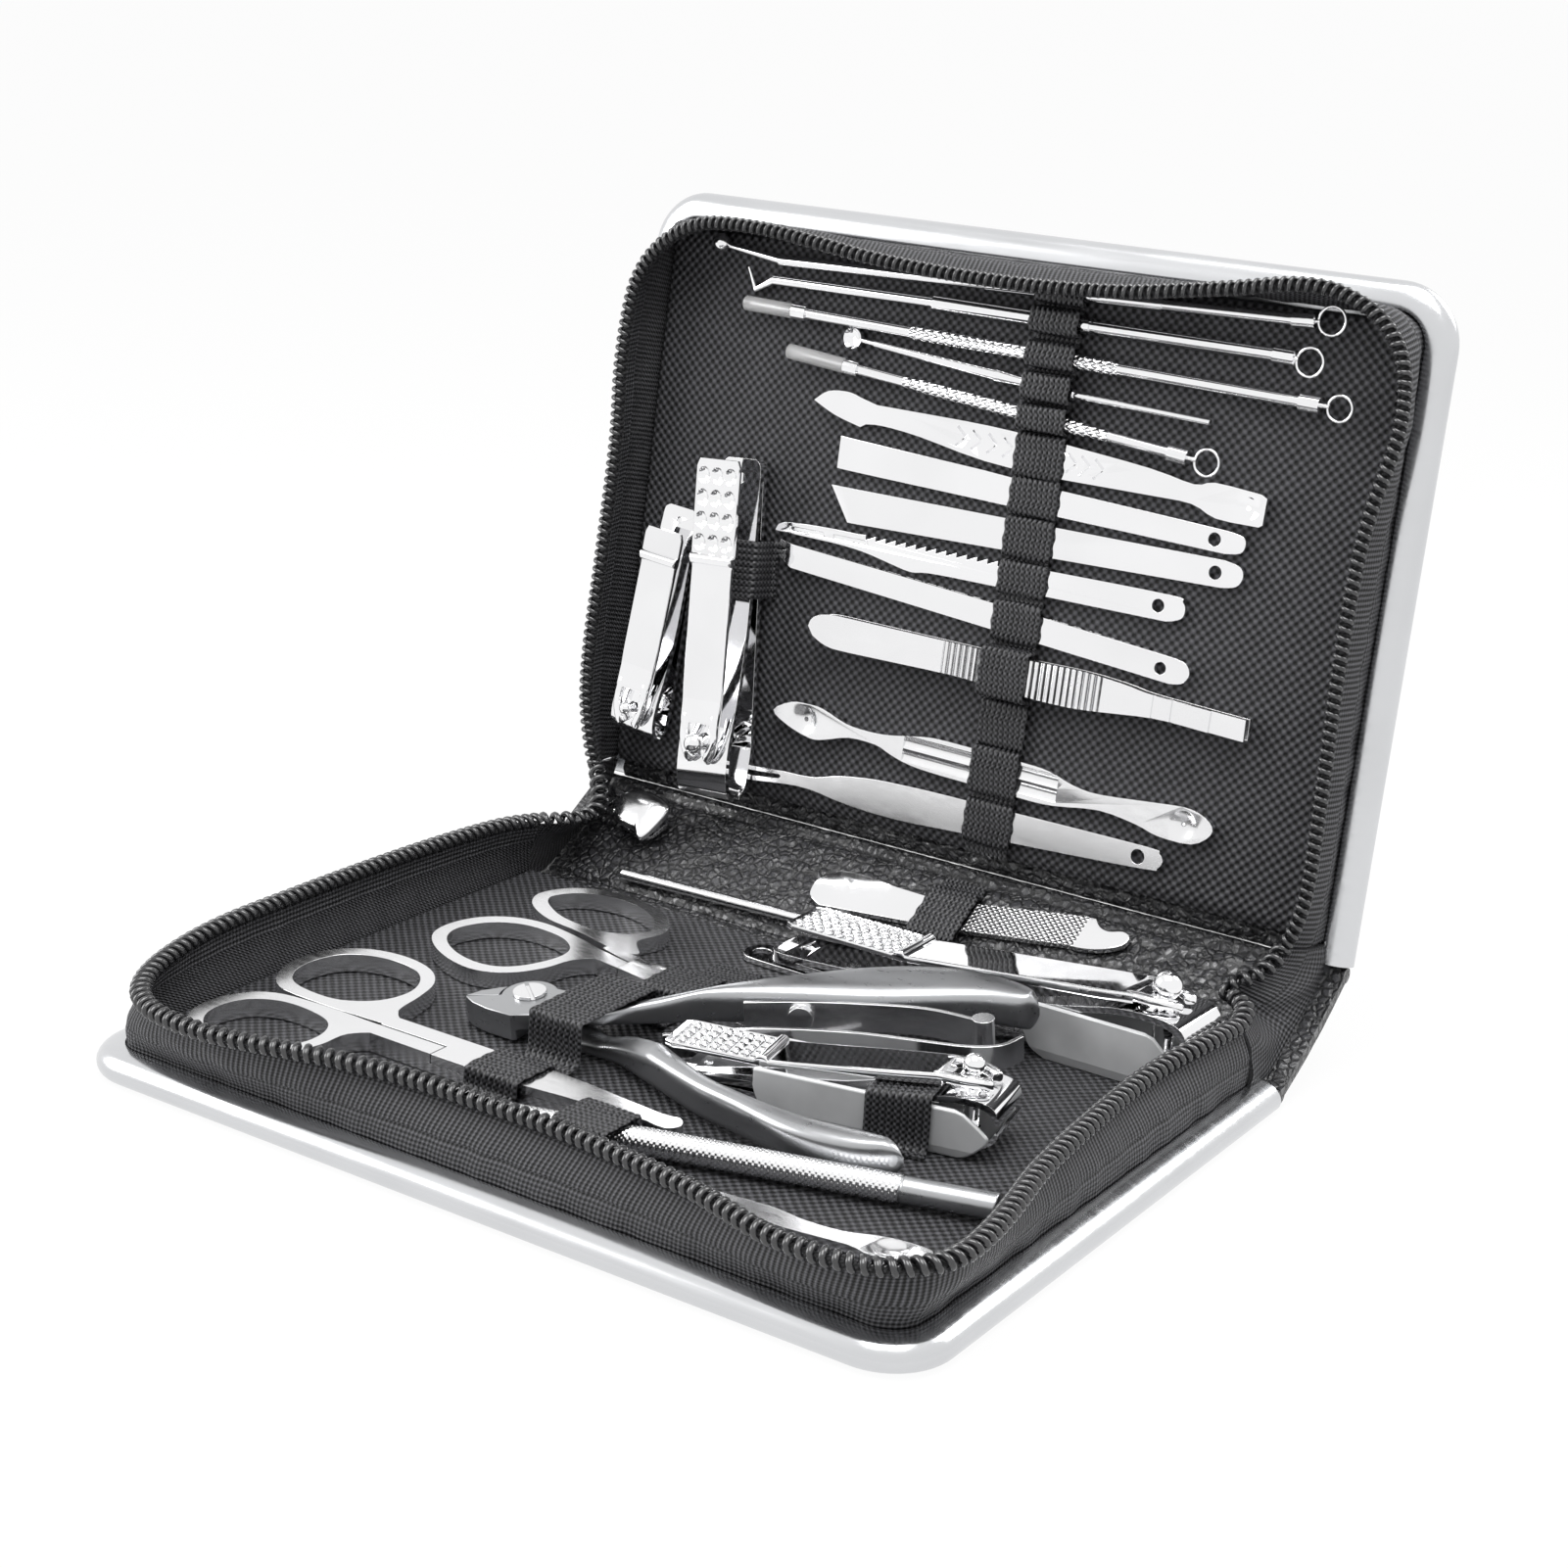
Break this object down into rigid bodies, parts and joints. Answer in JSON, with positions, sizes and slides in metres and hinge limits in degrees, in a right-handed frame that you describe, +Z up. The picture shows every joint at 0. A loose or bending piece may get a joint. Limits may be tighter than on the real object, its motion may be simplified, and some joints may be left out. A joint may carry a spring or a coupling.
{
  "type": "manicure set case",
  "caption": "Zip-up manicure case lying open, with metal covers, a folding leather spine, lined trays, elastic bands and steel grooming tools held in place.",
  "frame": {"origin": "centre of the flat underside of the base cover, on the surface that the case lies on", "axes": "+X along the spine to the right, +Y from the open front of the base towards the spine and the raised lid, +Z up"},
  "size_m": [0.15, 0.1454, 0.1222],
  "materials": {
    "case_metal": "brushed sheet with smooth rolled rims",
    "tray_fabric": "coarse basket weave",
    "side_fabric": "fine twill tape",
    "zip_nylon": "glossy coil teeth",
    "zip_metal": "satin plated casting",
    "leather": "pebbled grain, rolled edges",
    "elastic_webbing": "ribbed woven elastic",
    "clear_plastic": "clear flexible sleeve",
    "catcher_plastic": "satin grey",
    "satin_steel": "satin steel",
    "polished_steel": "mirror polish"
  },
  "bodies": {
    "base": {"base_cover": "case_metal", "base_lining": "tray_fabric", "base_gusset": "side_fabric", "base_zip_chain": "zip_nylon", "base_bands": "elastic_webbing", "base_clipper_bands": "elastic_webbing", "clipper_a_leaves": "polished_steel", "clipper_a_file": "polished_steel", "clipper_a_catcher": "catcher_plastic", "clipper_b_leaves": "polished_steel", "clipper_b_catcher": "catcher_plastic", "base_clipper_pins": "polished_steel", "scissors_a_upper": "polished_steel", "scissors_b_upper": "polished_steel", "pivot_screws": "polished_steel", "nipper_handle_lower": "satin_steel", "nipper_spring_lower": "polished_steel", "knurled_handle": "satin_steel", "small_spoon": "satin_steel"},
    "spine": {"spine_leather": "leather", "spine_lining": "leather", "left_web": "side_fabric", "right_web": "side_fabric", "zip_slider": "zip_metal", "spine_band": "elastic_webbing", "nail_file": "satin_steel", "thin_rod": "polished_steel"},
    "lid": {"lid_cover": "case_metal", "lid_lining": "tray_fabric", "lid_gusset": "side_fabric", "lid_zip_chain": "zip_nylon", "lid_tool_band": "elastic_webbing", "lid_clipper_band": "elastic_webbing", "loop_extractor": "polished_steel", "probe": "polished_steel", "loop_needle_long": "polished_steel", "ear_pick": "polished_steel", "loop_needle_short": "polished_steel", "needle_guards": "clear_plastic", "cuticle_knife": "polished_steel", "straight_blade": "polished_steel", "slant_blade": "polished_steel", "saw_blade": "polished_steel", "fork_strip": "polished_steel", "tweezer_back_arm": "polished_steel", "double_spoon": "polished_steel", "cuticle_fork": "polished_steel", "clipper_c_leaves": "polished_steel", "clipper_d_leaves": "polished_steel", "lid_clipper_pins": "polished_steel"},
    "pull": {"zip_pull": "zip_metal"},
    "lever_a": {"clipper_a_lever": "polished_steel"},
    "lever_b": {"clipper_b_lever": "polished_steel"},
    "lever_c": {"clipper_c_lever": "polished_steel"},
    "lever_d": {"clipper_d_lever": "polished_steel"},
    "tweezer_arm": {"tweezer_front_arm": "polished_steel"},
    "scissor_half_a": {"scissors_a_lower": "polished_steel"},
    "scissor_half_b": {"scissors_b_lower": "polished_steel"},
    "nipper_half": {"nipper_handle_upper": "satin_steel", "nipper_spring_upper": "polished_steel"}
  },
  "joints": [
    {"name": "spine_fold", "type": "hinge", "parent": "base", "child": "spine", "pos_m": [0, 0.0545, 0.002], "axis": [-1, 0, 0], "range_deg": [-58, 32], "deforming": ["left_web", "right_web"]},
    {"name": "lid_fold", "type": "hinge", "parent": "spine", "child": "lid", "pos_m": [0, 0.0757, 0.01525], "axis": [-1, 0, 0], "range_deg": [-40, 50], "deforming": ["left_web", "right_web"]},
    {"name": "zip_pull_swing", "type": "hinge", "parent": "spine", "child": "pull", "pos_m": [-0.06287, 0.06656, 0.01449], "axis": [0.2079, 0.8295, 0.5183], "range_deg": [0, 20]},
    {"name": "lever_a_lift", "type": "hinge", "parent": "base", "child": "lever_a", "pos_m": [0.06431, 0.0416, 0.01785], "axis": [0, 1, 0], "range_deg": [0, 18]},
    {"name": "lever_b_lift", "type": "hinge", "parent": "base", "child": "lever_b", "pos_m": [0.05219, 0.00274, 0.01565], "axis": [-0.1994, 0.9799, 0], "range_deg": [0, 18]},
    {"name": "lever_c_lift", "type": "hinge", "parent": "lid", "child": "lever_c", "pos_m": [-0.04335, 0.06381, 0.02803], "axis": [0.9981, 0.0085, 0.0605], "range_deg": [0, 18]},
    {"name": "lever_d_lift", "type": "hinge", "parent": "lid", "child": "lever_d", "pos_m": [-0.06152, 0.06735, 0.03094], "axis": [0.9962, -0.0121, -0.0863], "range_deg": [0, 18]},
    {"name": "tweezer_squeeze", "type": "hinge", "parent": "lid", "child": "tweezer_arm", "pos_m": [-0.0272, 0.07502, 0.05281], "axis": [0, 0.1392, 0.9903], "range_deg": [0, 0.7], "stiffness_Nm_per_rad": 0.3},
    {"name": "scissors_a_open", "type": "hinge", "parent": "base", "child": "scissor_half_a", "pos_m": [-0.0104, -0.0252, 0], "axis": [0, 0, 1], "range_deg": [0, 2]},
    {"name": "scissors_b_open", "type": "hinge", "parent": "base", "child": "scissor_half_b", "pos_m": [-0.01, 0.0162, 0], "axis": [0, 0, 1], "range_deg": [0, 3]},
    {"name": "nipper_squeeze", "type": "hinge", "parent": "base", "child": "nipper_half", "pos_m": [-0.0239, -0.006, 0.00895], "axis": [0.0349, 0.1062, -0.9937], "range_deg": [0, 3], "stiffness_Nm_per_rad": 1.5, "springref_deg": -2.86, "deforming": ["nipper_spring_upper", "nipper_spring_lower"]}
  ]
}
